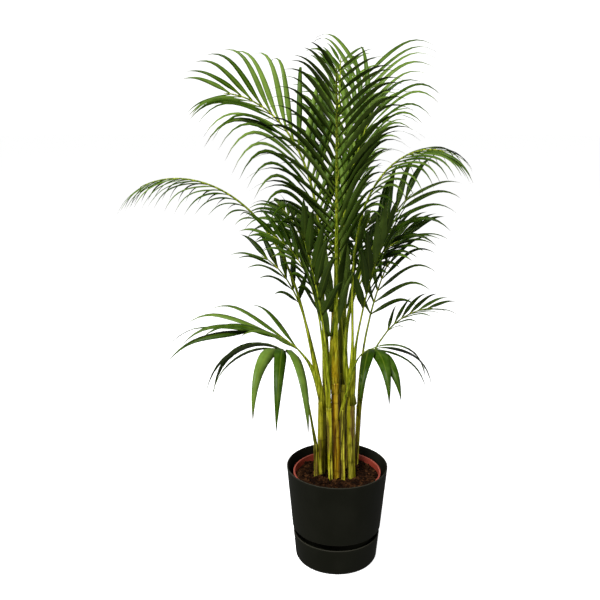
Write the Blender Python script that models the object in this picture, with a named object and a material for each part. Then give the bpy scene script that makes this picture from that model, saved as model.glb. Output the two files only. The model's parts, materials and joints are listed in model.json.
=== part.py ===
"""Potted feather palm: a clump of canes and fronds in a plastic nursery pot,
which stands inside a black planter with a separate drip saucer.

Metres, +Z up, +Y away from the front, origin at the centre of the saucer's underside.
A heading is an angle about +Z: 0 is right, 90 is back, 180 is left and 270 is front.
A tilt is an angle away from straight up.
"""

import math
import random
from typing import NamedTuple

import bpy
import numpy as np
from mathutils import Vector
from mathutils.bvhtree import BVHTree

# ---------------------------------------------------------------- driving dimensions

ROUND_SIDES = 56                # sides of the pots
CLEARANCE = 0.0004              # air between two separate pieces

SAUCER_TOP_RADIUS = 0.1063
SAUCER_FOOT_RADIUS = 0.1000
SAUCER_HEIGHT = 0.0690
SAUCER_WALL = 0.0030
SAUCER_FLOOR = 0.0100
SAUCER_FILLET = 0.0060
SAUCER_DRAFT = 0.0006           # widening of the wall just above the foot

PLANTER_RIM_RADIUS = 0.1225
PLANTER_HEM_RADIUS = 0.1085     # lower edge of the visible tapered wall
PLANTER_TOP = 0.2420
PLANTER_HEM = 0.0840
PLANTER_WALL = 0.0028
NECK_RADIUS = 0.0905            # narrow neck that stands in the saucer
NECK_FOOT_RADIUS = 0.0880
NECK_STEP = 0.0005              # the neck starts this far above the wall's lower edge
PLANTER_FLOOR = 0.0040
RIM_ROUND = 0.0008              # chamfer on the rims
HEM_ROUND = 0.0012              # chamfer on the planter's lower edge

NURSERY_RIM_RADIUS = 0.1065
NURSERY_SHOULDER_RADIUS = 0.1030
NURSERY_FOOT_RADIUS = 0.0750
NURSERY_TOP = 0.2260
NURSERY_BAND = 0.0140           # height of the thicker rim band
NURSERY_WALL = 0.0018
NURSERY_LIP = 0.0036            # thickness of the rim band
NURSERY_STEP = 0.0010           # slope under the rim band
NURSERY_TAPER = 0.0040          # slope inside, from the band to the wall

SOIL_LEVEL = 0.2135
SOIL_LUMP = 0.0022              # half the height difference of the lumps
SOIL_RINGS = 9
SOIL_SHOULDER = 0.0060          # the soil's wall stops this far below the rim band
CANE_BURIED = 0.0250            # depth of a cane below the soil's surface
CANE_SIDES = 12
CANE_FLARE = 1.12               # swelling of a cane at the soil
SCAR_SPACING = 0.0580           # between the ring scars on a cane
SCAR_LEDGE = 0.0040             # height of the step at a scar
SCAR_SWELL = 1.06
SCAR_WAIST = 0.97

PETIOLE_HALF = (0.0042, 0.0032)  # half width and half thickness where a leaf stalk starts
PETIOLE_FULL_LENGTH = 0.7000     # a frond at least this long has the full stalk
SMALLEST_VIGOUR = 0.6500         # thinnest stalk, as a share of the full one
RACHIS_HALF = (0.0010, 0.0009)   # the same at the frond's tip
LEAFLET_BASE = 0.0052            # width of a leaflet where it joins the rachis
LEAFLET_THICKNESS = 0.0014
LEAFLET_GAP = 0.0005             # least air around a leaflet
ROOT_SHIFT = 0.0300              # share of its first stretch where a leaflet may touch its own rachis
LONG_LEAFLET = 0.1400            # longer leaflets get one more ring
LEAFLET_STEPS = 12               # short straight lengths that a leaflet's curve is made of
LONG_RINGS = ((4, 1.00), (8, 0.74))  # step and share of the full width at each ring
SHORT_RINGS = ((5, 1.00),)
LEAST_OPENING = 8.0000           # smallest angle between a leaflet and the rachis
LEAST_WIDTH = 0.5500             # width that even the shortest leaflet keeps, as a share
DROOP_LENGTH = 0.2000            # a habit's droop is for a leaflet of this length
ROLL_BLEND = 0.3000              # share of a frond over which its roll comes in
STALK_OVERHANG = 0.0004          # how far a stalk stands out over the edge of a shared cane top


class Cane(NamedTuple):
    name: str
    foot: tuple          # x and y where it enters the soil
    head: tuple          # x, y and z of its top
    foot_radius: float
    head_radius: float
    colour: str


CANES = (
    Cane("cane_left_thin", (-0.050, -0.010), (-0.0530, -0.0060, 0.300), 0.0050, 0.0044, "green"),
    Cane("cane_left", (-0.039, 0.004), (-0.0370, 0.0040, 0.408), 0.0088, 0.0100, "olive"),
    Cane("cane_left_front", (-0.015, -0.024), (-0.0225, -0.0250, 0.400), 0.0048, 0.0066, "yellow"),
    Cane("cane_centre", (0.000, -0.012), (-0.0080, -0.0120, 0.458), 0.0102, 0.0096, "amber"),
    Cane("cane_centre_thin", (0.0150, -0.028), (0.0090, -0.0250, 0.395), 0.0046, 0.0044, "yellow"),
    Cane("cane_right", (0.0355, -0.016), (0.0290, -0.0160, 0.428), 0.0088, 0.0104, "green"),
    Cane("cane_right_thin", (0.0500, 0.055), (0.0550, 0.0480, 0.375), 0.0044, 0.0066, "grey"),
    Cane("cane_back", (0.000, 0.052), (0.0000, 0.0500, 0.440), 0.0078, 0.0096, "green"),
    Cane("cane_back_left", (-0.022, 0.034), (-0.0270, 0.0300, 0.455), 0.0080, 0.0094, "olive"),
    Cane("cane_back_right", (0.018, 0.034), (0.0150, 0.0280, 0.469), 0.0084, 0.0096, "green"),
)


class Habit(NamedTuple):
    """How the leaflets stand on a frond; pairs of numbers run from its first leaflet to its last."""

    bare: float          # share of the frond's length that has no leaflets
    open_angle: tuple    # between a leaflet and the rachis
    rise: float          # lift of the leaflets above the frond's own plane
    droop: float         # how far a leaflet bends down along its length
    width: float
    lengths: tuple       # shares of the longest leaflet: first, longest place, last
    louvre: float        # turn of each leaflet about its own midrib


HABITS = {
    "tall": Habit(0.41, (46, 26), 12, 1.00, 0.0120, (0.80, 0.35, 0.38), 20),
    "spray": Habit(0.48, (24, 38), 10, 0.90, 0.0110, (0.40, 0.85, 0.90), 18),
    "arch": Habit(0.60, (52, 32), -15, 1.80, 0.0100, (0.60, 0.40, 0.60), 18),
    "bush": Habit(0.58, (56, 30), 6, 1.90, 0.0165, (0.70, 0.40, 0.60), 16),
    "fan": Habit(0.60, (46, 22), 12, 1.10, 0.0135, (0.80, 0.40, 0.75), 18),
    "young": Habit(0.45, (16, 7), 6, 0.25, 0.0190, (0.90, 0.40, 0.80), 14),
    "wedge": Habit(0.50, (30, 20), 8, 0.55, 0.0170, (0.80, 0.45, 0.80), 14),
    "low": Habit(0.48, (26, 8), 4, 0.80, 0.0180, (0.80, 0.50, 1.00), 8),
    "broad": Habit(0.88, (56, 22), 0, 3.20, 0.0260, (1.00, 0.30, 0.85), 4),
}


class Frond(NamedTuple):
    name: str
    cane: str
    habit: str
    heading: float
    tilt: tuple          # at the base and at the tip
    bend: float          # above 1, the bending gathers towards the tip
    length: float
    pairs: int
    leaflet: float       # length of its longest leaflet
    roll: float          # turn of the frond's plane about its rachis
    skew: float = 0.0    # one hand's first leaflets close by this angle, and its last ones open by it


FRONDS = (
    Frond("frond_tall_left", "cane_back_left", "tall", 195, (1, 88), 3.6, 0.76, 18, 0.285, -55),
    Frond("frond_tall_front", "cane_centre", "tall", 266, (6, 44), 1.7, 0.76, 18, 0.235, 0, 22),
    Frond("frond_tall_back", "cane_back", "tall", 85, (-4, 38), 2.0, 0.79, 17, 0.200, 0, -22),
    Frond("frond_tall_right", "cane_back_right", "spray", 345, (-3, 26), 2.3, 0.62, 11, 0.235, 50),
    Frond("frond_tall_side", "cane_back", "spray", 50, (2, 34), 3.0, 0.75, 14, 0.235, 10),
    Frond("frond_arch_right", "cane_right", "arch", 350, (-2, 110), 4.0, 0.68, 15, 0.165, 10),
    Frond("frond_arch_left", "cane_left", "arch", 180, (9, 118), 2.5, 0.755, 15, 0.145, 0),
    Frond("frond_mid_right", "cane_right", "fan", 10, (-15, 44), 0.9, 0.51, 6, 0.180, 40),
    Frond("frond_fan_right", "cane_back_right", "fan", 350, (-3, 66), 1.7, 0.39, 8, 0.140, 30),
    Frond("frond_low_right", "cane_right_thin", "fan", 10, (3, 24), 1.6, 0.37, 5, 0.180, 40),
    Frond("frond_small_right", "cane_right_thin", "fan", 350, (6, 84), 1.9, 0.33, 6, 0.100, 15),
    Frond("frond_mid_left", "cane_left", "fan", 190, (12, 63), 3.6, 0.39, 5, 0.125, -30),
    Frond("frond_fan_left", "cane_left_front", "fan", 195, (4, 60), 3.2, 0.45, 8, 0.130, -40),
    Frond("frond_low_left", "cane_left", "low", 185, (13, 95), 1.5, 0.28, 4, 0.215, -14),
    Frond("frond_broad_left", "cane_left_thin", "broad", 226, (13, 85), 4.5, 0.31, 3, 0.250, 0),
    Frond("frond_broad_right", "cane_centre_thin", "broad", 318, (15, 104), 4.5, 0.21, 3, 0.170, 0),
    Frond("frond_back_left", "cane_back_left", "bush", 125, (4, 70), 1.6, 0.48, 10, 0.150, 0),
    Frond("frond_back", "cane_centre", "bush", 95, (6, 80), 1.5, 0.48, 10, 0.160, 0),
    Frond("frond_back_right", "cane_back", "bush", 65, (6, 65), 1.5, 0.45, 10, 0.150, 0),
    Frond("frond_front_right", "cane_right", "wedge", 318, (7, 24), 1.5, 0.42, 6, 0.160, 0),
    Frond("frond_front_left", "cane_left_front", "wedge", 225, (5, 24), 1.5, 0.44, 6, 0.160, 0),
    Frond("frond_young_left", "cane_left_front", "young", 280, (0, 12), 1.5, 0.33, 3, 0.200, 0),
    Frond("frond_young_right", "cane_back_right", "young", 290, (2, 14), 1.5, 0.30, 3, 0.190, 0),
)

COLOURS = {
    "black_plastic": ((0.012, 0.012, 0.009), 0.45),
    "terracotta_plastic": ((0.500, 0.110, 0.070), 0.50),
    "soil": ((0.022, 0.013, 0.008), 0.95),
    "cane_green": ((0.200, 0.260, 0.030), 0.42),
    "cane_olive": ((0.170, 0.180, 0.020), 0.45),
    "cane_yellow": ((0.420, 0.400, 0.070), 0.42),
    "cane_amber": ((0.360, 0.190, 0.030), 0.50),
    "cane_grey": ((0.160, 0.170, 0.090), 0.55),
    "leaf": ((0.030, 0.085, 0.014), 0.40),
}


# ---------------------------------------------------------------- scene helpers


def clear_scene():
    for obj in list(bpy.data.objects):
        bpy.data.objects.remove(obj, do_unlink=True)


def material(name):
    found = bpy.data.materials.get(name)
    if found:
        return found
    colour, roughness = COLOURS[name]
    made = bpy.data.materials.new(name)
    made.use_nodes = True
    shader = made.node_tree.nodes["Principled BSDF"]
    shader.inputs["Base Color"].default_value = (*colour, 1.0)
    shader.inputs["Roughness"].default_value = roughness
    made.diffuse_color = (*colour, 1.0)
    return made


def add_object(name, points, faces, colour):
    mesh = bpy.data.meshes.new(name)
    mesh.from_pydata([tuple(point) for point in points], [], faces)
    mesh.validate()
    obj = bpy.data.objects.new(name, mesh)
    bpy.context.scene.collection.objects.link(obj)
    mesh.materials.append(material(colour))
    return obj


def unit(vector):
    return vector / np.linalg.norm(vector)


# ---------------------------------------------------------------- turned pieces


def lathe(profile, sides=ROUND_SIDES):
    """Points and faces of a closed solid of revolution; the profile starts and ends on the axis."""
    rings = profile[1:-1]
    turns = [2 * math.pi * k / sides for k in range(sides)]
    points = [(0, 0, profile[0][1])]
    for radius, height in rings:
        points += [(radius * math.cos(a), radius * math.sin(a), height) for a in turns]
    points.append((0, 0, profile[-1][1]))
    faces = []
    for k in range(sides):
        after = (k + 1) % sides
        faces.append((0, 1 + after, 1 + k))
        for ring in range(len(rings) - 1):
            low = 1 + ring * sides
            high = low + sides
            faces.append((low + k, low + after, high + after, high + k))
        last = 1 + (len(rings) - 1) * sides
        faces.append((last + k, last + after, len(points) - 1))
    return points, faces


def build_saucer():
    lip = SAUCER_TOP_RADIUS - SAUCER_WALL
    inner_foot = SAUCER_FOOT_RADIUS - SAUCER_WALL
    profile = [
        (0, 0),
        (SAUCER_FOOT_RADIUS - SAUCER_FILLET, 0),
        (SAUCER_FOOT_RADIUS - 0.3 * SAUCER_FILLET, 0.3 * SAUCER_FILLET),
        (SAUCER_FOOT_RADIUS + SAUCER_DRAFT, SAUCER_FILLET),
        (SAUCER_TOP_RADIUS, SAUCER_HEIGHT - RIM_ROUND),
        (SAUCER_TOP_RADIUS - RIM_ROUND, SAUCER_HEIGHT),
        (lip, SAUCER_HEIGHT),
        (inner_foot, SAUCER_FLOOR),
        (0, SAUCER_FLOOR),
    ]
    add_object("saucer", *lathe(profile), "black_plastic")


def build_planter():
    foot = SAUCER_FLOOR + CLEARANCE
    shelf = PLANTER_HEM + PLANTER_WALL
    profile = [
        (0, foot),
        (NECK_FOOT_RADIUS, foot),
        (NECK_RADIUS, PLANTER_HEM + NECK_STEP),
        (PLANTER_HEM_RADIUS - HEM_ROUND, PLANTER_HEM),
        (PLANTER_HEM_RADIUS, PLANTER_HEM + HEM_ROUND),
        (PLANTER_RIM_RADIUS, PLANTER_TOP - RIM_ROUND),
        (PLANTER_RIM_RADIUS - RIM_ROUND, PLANTER_TOP),
        (PLANTER_RIM_RADIUS - PLANTER_WALL, PLANTER_TOP),
        (PLANTER_HEM_RADIUS - PLANTER_WALL, shelf),
        (NECK_RADIUS - PLANTER_WALL, shelf),
        (NECK_FOOT_RADIUS - PLANTER_WALL, foot + PLANTER_FLOOR),
        (0, foot + PLANTER_FLOOR),
    ]
    add_object("planter", *lathe(profile), "black_plastic")


def nursery_floor():
    return SAUCER_FLOOR + CLEARANCE + PLANTER_FLOOR + CLEARANCE


def build_nursery_pot():
    foot = nursery_floor()
    band = NURSERY_TOP - NURSERY_BAND
    profile = [
        (0, foot),
        (NURSERY_FOOT_RADIUS, foot),
        (NURSERY_SHOULDER_RADIUS, band),
        (NURSERY_RIM_RADIUS, band + NURSERY_STEP),
        (NURSERY_RIM_RADIUS, NURSERY_TOP - RIM_ROUND),
        (NURSERY_RIM_RADIUS - RIM_ROUND, NURSERY_TOP),
        (NURSERY_RIM_RADIUS - NURSERY_LIP, NURSERY_TOP),
        (NURSERY_SHOULDER_RADIUS - NURSERY_WALL, band - NURSERY_TAPER),
        (NURSERY_FOOT_RADIUS - NURSERY_WALL, foot + NURSERY_WALL),
        (0, foot + NURSERY_WALL),
    ]
    add_object("nursery_pot", *lathe(profile), "terracotta_plastic")


def soil_height(x, y):
    """Lumpy surface, made of a few waves that do not line up."""
    waves = math.sin(71 * x + 1.3) * math.cos(83 * y - 0.4)
    waves += 0.6 * math.sin(151 * x - 97 * y + 0.7)
    waves += 0.5 * math.cos(113 * x + 167 * y)
    return SOIL_LEVEL + SOIL_LUMP * waves / 2.1


def soil_radius(height):
    """Radius of the soil just inside the nursery pot's wall."""
    low = nursery_floor() + NURSERY_WALL
    high = NURSERY_TOP - NURSERY_BAND - NURSERY_TAPER
    share = (height - low) / (high - low)
    spread = NURSERY_SHOULDER_RADIUS - NURSERY_FOOT_RADIUS
    return NURSERY_FOOT_RADIUS - NURSERY_WALL + spread * min(share, 1.0) - CLEARANCE


def build_soil():
    """A plug that fills the nursery pot, with a socket for each cane."""
    foot = nursery_floor() + NURSERY_WALL + CLEARANCE
    shoulder = NURSERY_TOP - NURSERY_BAND - SOIL_SHOULDER
    edge = soil_radius(shoulder)
    profile = [(0, foot), (soil_radius(foot), foot), (edge, shoulder)]
    top_rings = [edge * (1 - ring / SOIL_RINGS) for ring in range(SOIL_RINGS)]
    profile += [(radius, SOIL_LEVEL) for radius in top_rings]
    profile.append((0, SOIL_LEVEL))
    points, faces = lathe(profile)
    lumpy = [
        (x, y, soil_height(x, y) if abs(z - SOIL_LEVEL) < 1e-9 else z)
        for x, y, z in points
    ]
    soil = add_object("soil", lumpy, faces, "soil")
    for cane in CANES:
        cut_socket(soil, cane)


def cut_socket(soil, cane):
    """The hole in the soil that a cane stands in."""
    depth = CANE_BURIED + CLEARANCE
    foot = np.array([*cane.foot, SOIL_LEVEL - depth])
    rise = 3 * depth
    radius = cane.foot_radius * CANE_FLARE + CLEARANCE
    axis = cane_axis(cane)
    centres = [foot, foot + axis * rise / axis[2]]
    points, faces = round_tube(centres, [radius, radius], CANE_SIDES)
    cutter = add_object("socket_of_" + cane.name, points, faces, "soil")
    cutter.hide_render = True
    cutter.hide_viewport = True
    hole = soil.modifiers.new(cutter.name, "BOOLEAN")
    hole.operation = "DIFFERENCE"
    hole.solver = "EXACT"
    hole.object = cutter


# ---------------------------------------------------------------- canes


def cane_axis(cane):
    foot = np.array([*cane.foot, SOIL_LEVEL])
    return unit(np.array(cane.head) - foot)


def round_tube(centres, radii, sides):
    """A closed tube with level rings."""
    points = []
    for centre, radius in zip(centres, radii):
        for k in range(sides):
            turn = 2 * math.pi * k / sides
            points.append(centre + radius * np.array([math.cos(turn), math.sin(turn), 0]))
    faces = [tuple(reversed(range(sides)))]
    for ring in range(len(centres) - 1):
        for k in range(sides):
            low = ring * sides
            after = (k + 1) % sides
            faces.append((low + k, low + after, low + sides + after, low + sides + k))
    last = (len(centres) - 1) * sides
    faces.append(tuple(range(last, last + sides)))
    return points, faces


def build_cane(cane):
    """A stem with a swollen foot and ring scars; its top is level, to carry the leaf stalks."""
    foot = np.array([*cane.foot, SOIL_LEVEL - CANE_BURIED])
    head = np.array(cane.head)
    axis = cane_axis(cane)
    soil_point = foot + axis * CANE_BURIED / axis[2]
    scars = max(2, round((head[2] - SOIL_LEVEL) / SCAR_SPACING))
    centres = [foot, soil_point]
    radii = [cane.foot_radius * CANE_FLARE] * 2
    for k in range(1, scars + 1):
        share = k / scars
        radius = cane.foot_radius + (cane.head_radius - cane.foot_radius) * share
        centre = soil_point + (head - soil_point) * share
        if k < scars:
            centres += [centre - axis * SCAR_LEDGE, centre]
            radii += [radius * SCAR_WAIST, radius * SCAR_SWELL]
        else:
            centres.append(centre)
            radii.append(radius)
    points, faces = round_tube(centres, radii, CANE_SIDES)
    add_object(cane.name, points, faces, "cane_" + cane.colour)
    return points, faces


# ---------------------------------------------------------------- frond centrelines


def heading_vector(heading):
    turn = math.radians(heading)
    return np.array([math.cos(turn), math.sin(turn), 0.0])


def tangent_at(frond, share):
    tilt = frond.tilt[0] + (frond.tilt[1] - frond.tilt[0]) * share**frond.bend
    lean = math.radians(tilt)
    ahead = heading_vector(frond.heading)
    return math.sin(lean) * ahead + math.cos(lean) * np.array([0, 0, 1.0])


def frame_at(frond, share):
    """Tangent, side and upper-side directions of the frond at a share of its length."""
    tangent = tangent_at(frond, share)
    side = np.array([-1.0, 1.0, 0]) * heading_vector(frond.heading)[[1, 0, 2]]
    upper = np.cross(tangent, side)
    if frond.roll:
        turn = math.radians(frond.roll * min(1.0, share / ROLL_BLEND))
        side, upper = (
            math.cos(turn) * side + math.sin(turn) * upper,
            math.cos(turn) * upper - math.sin(turn) * side,
        )
    return tangent, side, upper


def stations_of(frond):
    """Shares of the frond's length that need a ring; each leaflet pair has two."""
    habit = HABITS[frond.habit]
    stalk = [habit.bare * k / 6 for k in range(6)]
    pitch = (1 - habit.bare) / frond.pairs
    half = 0.5 * LEAFLET_BASE / frond.length
    pairs = []
    for k in range(frond.pairs):
        middle = habit.bare + pitch * (k + 0.45)
        pairs.append((middle - half, middle + half))
    return stalk, pairs


def centreline(frond, start):
    """Points along the frond, one for each of its ring stations and one for its tip."""
    stalk, pairs = stations_of(frond)
    shares = stalk + [share for pair in pairs for share in pair] + [1.0]
    points = [np.array(start)]
    for before, after in zip(shares, shares[1:]):
        steps = 4
        point = points[-1]
        for k in range(steps):
            middle = before + (after - before) * (k + 0.5) / steps
            point = point + tangent_at(frond, middle) * frond.length * (after - before) / steps
        points.append(point)
    return shares, points


def half_size(frond, share):
    """Half width and half thickness of the stalk and rachis at a share of the length."""
    taper = (1 - share) ** 0.8
    vigour = min(1.0, max(SMALLEST_VIGOUR, frond.length / PETIOLE_FULL_LENGTH))
    return tuple(
        end + (start * vigour - end) * taper for start, end in zip(PETIOLE_HALF, RACHIS_HALF)
    )


def stalk_rings(frond, start, extra=0.0):
    shares, points = centreline(frond, start)
    rings = []
    for index, (share, point) in enumerate(zip(shares[:-1], points)):
        tangent, side, upper = frame_at(frond, share)
        if index == 0:
            side = unit(side * [1, 1, 0])
            upper = -heading_vector(frond.heading)
        wide, thick = half_size(frond, share)
        wide += extra
        thick += extra
        rings.append(
            [
                point - side * wide - upper * thick,
                point + side * wide - upper * thick,
                point + side * wide + upper * thick,
                point - side * wide + upper * thick,
            ]
        )
    return shares, rings, points[-1]


def tube_faces(ring_count):
    faces = []
    for ring in range(ring_count - 1):
        low = 4 * ring
        for k in range(4):
            after = (k + 1) % 4
            faces.append((low + k, low + after, low + 4 + after, low + 4 + k))
    return faces


def stalk_shell(rings, tip):
    """Points and faces of the stalk with its pointed tip, open at the foot."""
    points = [corner for ring in rings for corner in ring] + [tip]
    faces = tube_faces(len(rings))
    last = 4 * (len(rings) - 1)
    faces += [(last + k, last + (k + 1) % 4, last + 4) for k in range(4)]
    return points, faces


# ---------------------------------------------------------------- keeping pieces apart


class Placed:
    """Everything built so far that a new piece must not touch."""

    def __init__(self):
        self.items = []

    def add(self, points, faces, owner):
        corners = np.array(points)
        tree = BVHTree.FromPolygons([Vector(p) for p in corners], faces)
        self.items.append((corners.min(axis=0), corners.max(axis=0), tree, owner))

    def touches(self, points, faces, skip=()):
        corners = np.array(points)
        low = corners.min(axis=0)
        high = corners.max(axis=0)
        tree = None
        for item_low, item_high, item_tree, owner in self.items:
            if owner in skip or (low > item_high).any() or (high < item_low).any():
                continue
            if tree is None:
                tree = BVHTree.FromPolygons([Vector(p) for p in corners], faces)
            if tree.overlap(item_tree):
                return True
        return False


STALK_SWINGS = ((0, 0), (4, 0), (-4, 0), (0, 2), (8, 0), (-8, 0), (0, -2), (6, 2), (-6, 2), (12, 0),
                (-12, 0), (10, 3), (-10, 3), (16, 2), (-16, 2), (0, 4), (20, 3), (-20, 3))
LEAFLET_SWINGS = ((0, 0), (4, 0), (-4, 0), (0, 6), (0, -6), (8, 3), (-8, -3), (6, 10), (-6, 10),
                  (12, 0), (-12, 0), (8, -10), (-8, -10), (0, 16), (0, -16))
LEAFLET_TRIMS = (1.0, 0.85, 0.7, 0.5)


def settle_stalk(frond, start, placed):
    """The frond with the smallest change of heading and tilt that keeps its stalk clear."""
    for swing, lean in STALK_SWINGS:
        trial = frond._replace(
            heading=frond.heading + swing,
            tilt=(frond.tilt[0] + lean, frond.tilt[1]),
        )
        shell = stalk_shell(*stalk_rings(trial, start, LEAFLET_GAP)[1:])
        if not placed.touches(*shell, skip=(frond.cane,)):
            return trial
    raise ValueError("no clear way for " + frond.name)


# ---------------------------------------------------------------- leaflets


def leaflet_length(frond, place):
    """Length of the leaflet at a place from 0, the first pair, to 1, the last."""
    first, peak, last = HABITS[frond.habit].lengths
    if place < peak:
        share = first + (1 - first) * math.sin(0.5 * math.pi * place / peak)
    else:
        share = 1 - (1 - last) * ((place - peak) / (1 - peak)) ** 1.6
    return frond.leaflet * share


def leaflet_rings(frame, root, hand, length, angles, habit, width, extra=0.0):
    """Rings and tip of one leaflet, which leaves the rachis and bends down under its weight."""
    tangent, side, upper = frame
    opening, rise = (math.radians(angle) for angle in angles)
    outward = math.cos(rise) * hand * side + math.sin(rise) * upper
    course = math.cos(opening) * tangent + math.sin(opening) * outward
    line = [np.array(root)]
    ways = [course]
    for k in range(LEAFLET_STEPS):
        share = (k + 0.5) / LEAFLET_STEPS
        drop = habit.droop * length / DROOP_LENGTH * share**2
        way = unit(course - np.array([0, 0, drop]))
        line.append(line[-1] + way * length / LEAFLET_STEPS)
        ways.append(way)
    wide = tangent
    facing = upper
    rings = []
    for step, share in LONG_RINGS if length > LONG_LEAFLET else SHORT_RINGS:
        way = ways[step]
        wide = unit(wide - way * wide.dot(way))
        flat = np.cross(way, wide)
        flat *= 1 if flat.dot(facing) > 0 else -1
        facing = flat
        turn = math.radians(habit.louvre)
        across = math.cos(turn) * wide - math.sin(turn) * flat
        normal = math.cos(turn) * flat + math.sin(turn) * wide
        rings.append(
            (
                line[step],
                across * (width * share / 2 + extra),
                normal * (LEAFLET_THICKNESS / 2 + extra),
            )
        )
    return rings, line[-1] + unit(ways[-1]) * extra * 2


CORNERS = {1: ((-1, -1), (-1, 1), (1, 1), (1, -1)), -1: ((-1, 1), (-1, -1), (1, -1), (1, 1))}


def leaflet_solid(base, rings, tip, hand):
    """Points and open shell of a leaflet that grows out of the base quad."""
    points = list(base)
    for centre, across, normal in rings:
        points += [centre + across * a + normal * b for a, b in CORNERS[hand]]
    points.append(tip)
    faces = []
    for ring in range(len(rings)):
        low = 4 * ring
        for k in range(4):
            after = (k + 1) % 4
            faces.append((low + k, low + after, low + 4 + after))
            faces.append((low + k, low + 4 + after, low + 4 + k))
    last = 4 * len(rings)
    for k in range(4):
        faces.append((last + k, last + (k + 1) % 4, len(points) - 1))
    return points, faces


def settle_leaflet(frond, frame, base, hand, place, jitter, placed):
    """The leaflet nearest to its natural stance that touches nothing, or None."""
    habit = HABITS[frond.habit]
    start, end = habit.open_angle
    opening = start + (end - start) * place**0.8 + jitter
    opening += max(0.0, hand * frond.skew) * (2 * place - 1)
    full = leaflet_length(frond, place)
    root = sum(base) / 4
    for trim in LEAFLET_TRIMS:
        width = habit.width * (LEAST_WIDTH + (1 - LEAST_WIDTH) * full / frond.leaflet)
        for swing, lift in LEAFLET_SWINGS:
            angles = (max(LEAST_OPENING, opening + swing), habit.rise + lift)
            args = (frame, root, hand, full * trim, angles, habit, width)
            rings, tip = leaflet_rings(*args, extra=LEAFLET_GAP)
            sleeve, faces = leaflet_solid(tighter(base, rings[0][0]), rings, tip, hand)
            if not placed.touches(sleeve, faces):
                return leaflet_rings(*args)
    return None


def tighter(base, towards):
    """The base quad moved a little way out along the leaflet."""
    middle = sum(base) / 4
    step = (towards - middle) * ROOT_SHIFT
    return [corner + step for corner in base]


# ---------------------------------------------------------------- fronds


def grow(frond, start, placed, chance):
    """One frond as a single closed body: stalk, rachis and leaflets."""
    shares, rings, tip = stalk_rings(frond, start)
    points = [corner for ring in rings for corner in ring]
    faces = [(3, 2, 1, 0)]
    stalk_count = len(stations_of(frond)[0])
    leaflet_segments = set(range(stalk_count, len(rings) - 1, 2))
    for segment in range(len(rings) - 1):
        low = 4 * segment
        for k in range(4):
            quad = (low + k, low + (k + 1) % 4, low + 4 + (k + 1) % 4, low + 4 + k)
            hand = {1: 1, 3: -1}.get(k)
            if segment in leaflet_segments and hand:
                place = (segment - stalk_count) / max(1, len(rings) - 2 - stalk_count)
                frame = frame_at(frond, shares[segment])
                base = [points[index] for index in quad]
                jitter = chance.uniform(-3, 3)
                grown = settle_leaflet(frond, frame, base, hand, place, jitter, placed)
                if grown:
                    add_leaflet(points, faces, quad, base, grown, hand)
                    placed.add(*leaflet_solid(base, *grown, hand), frond.name)
                    continue
            faces.append(quad)
    last = 4 * (len(rings) - 1)
    points.append(tip)
    for k in range(4):
        faces.append((last + k, last + (k + 1) % 4, len(points) - 1))
    return points, faces


def add_leaflet(points, faces, quad, base, grown, hand):
    solid, shell = leaflet_solid(base, *grown, hand)
    first = len(points) - 4
    points += solid[4:]
    for face in shell:
        faces.append(tuple(quad[k] if k < 4 else first + k for k in face))


def slot_of(frond):
    """Where on top of its cane the frond's stalk stands."""
    cane = next(c for c in CANES if c.name == frond.cane)
    mates = [mate for mate in FRONDS if mate.cane == frond.cane]
    head = np.array(cane.head) + [0, 0, CLEARANCE]
    if len(mates) == 1:
        return head
    lead = max(mates, key=lambda mate: mate.tilt[1])
    mates.sort(key=lambda mate: (mate.heading - lead.heading) % 360)
    turn = lead.heading + 360 * mates.index(frond) / len(mates)
    reach = cane.head_radius - half_size(frond, 0)[0] + STALK_OVERHANG
    return head + heading_vector(turn) * reach


def build_fronds(placed):
    """Stalks find clear ways first; leaflets then fill in around them."""
    settled = []
    for frond in FRONDS:
        start = slot_of(frond)
        frond = settle_stalk(frond, start, placed)
        placed.add(*stalk_shell(*stalk_rings(frond, start)[1:]), frond.name + "_stalk")
        settled.append((frond, start))
    chance = random.Random(7)
    for frond, start in settled:
        points, faces = grow(frond, start, placed, chance)
        add_object(frond.name, points, faces, "leaf")


def main():
    clear_scene()
    build_saucer()
    build_planter()
    build_nursery_pot()
    build_soil()
    placed = Placed()
    for cane in CANES:
        placed.add(*build_cane(cane), cane.name)
    build_fronds(placed)


main()
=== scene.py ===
"""Looks of the potted feather palm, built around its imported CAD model.

Every shape starts from a CAD node. Each frond's leaflets and stalk are read back from its solid
and made again as folded blades on a channelled stalk. Canes, soil and pots are made again
with rounded edges, leaf sheaths and crumbs. Metres, +Z up, +Y away from the front.
"""

import json
import math
import random

import bmesh
import bpy
import numpy as np
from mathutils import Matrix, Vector, noise


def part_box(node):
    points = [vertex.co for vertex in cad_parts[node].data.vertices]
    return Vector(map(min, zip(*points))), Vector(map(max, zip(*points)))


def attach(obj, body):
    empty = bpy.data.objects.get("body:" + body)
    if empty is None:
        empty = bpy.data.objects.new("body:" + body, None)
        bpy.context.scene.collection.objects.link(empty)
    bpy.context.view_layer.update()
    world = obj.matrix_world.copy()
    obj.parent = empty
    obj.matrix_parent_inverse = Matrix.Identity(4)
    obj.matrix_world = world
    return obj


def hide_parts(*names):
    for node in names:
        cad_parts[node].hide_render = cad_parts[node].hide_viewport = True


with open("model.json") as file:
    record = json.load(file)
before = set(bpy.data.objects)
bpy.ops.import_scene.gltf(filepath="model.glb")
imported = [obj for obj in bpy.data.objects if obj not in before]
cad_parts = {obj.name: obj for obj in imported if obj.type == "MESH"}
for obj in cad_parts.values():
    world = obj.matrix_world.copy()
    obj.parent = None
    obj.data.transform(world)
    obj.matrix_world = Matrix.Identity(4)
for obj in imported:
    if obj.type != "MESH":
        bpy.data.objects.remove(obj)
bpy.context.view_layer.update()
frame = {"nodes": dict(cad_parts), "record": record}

# ---------------------------------------------------------------- driving values

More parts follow.
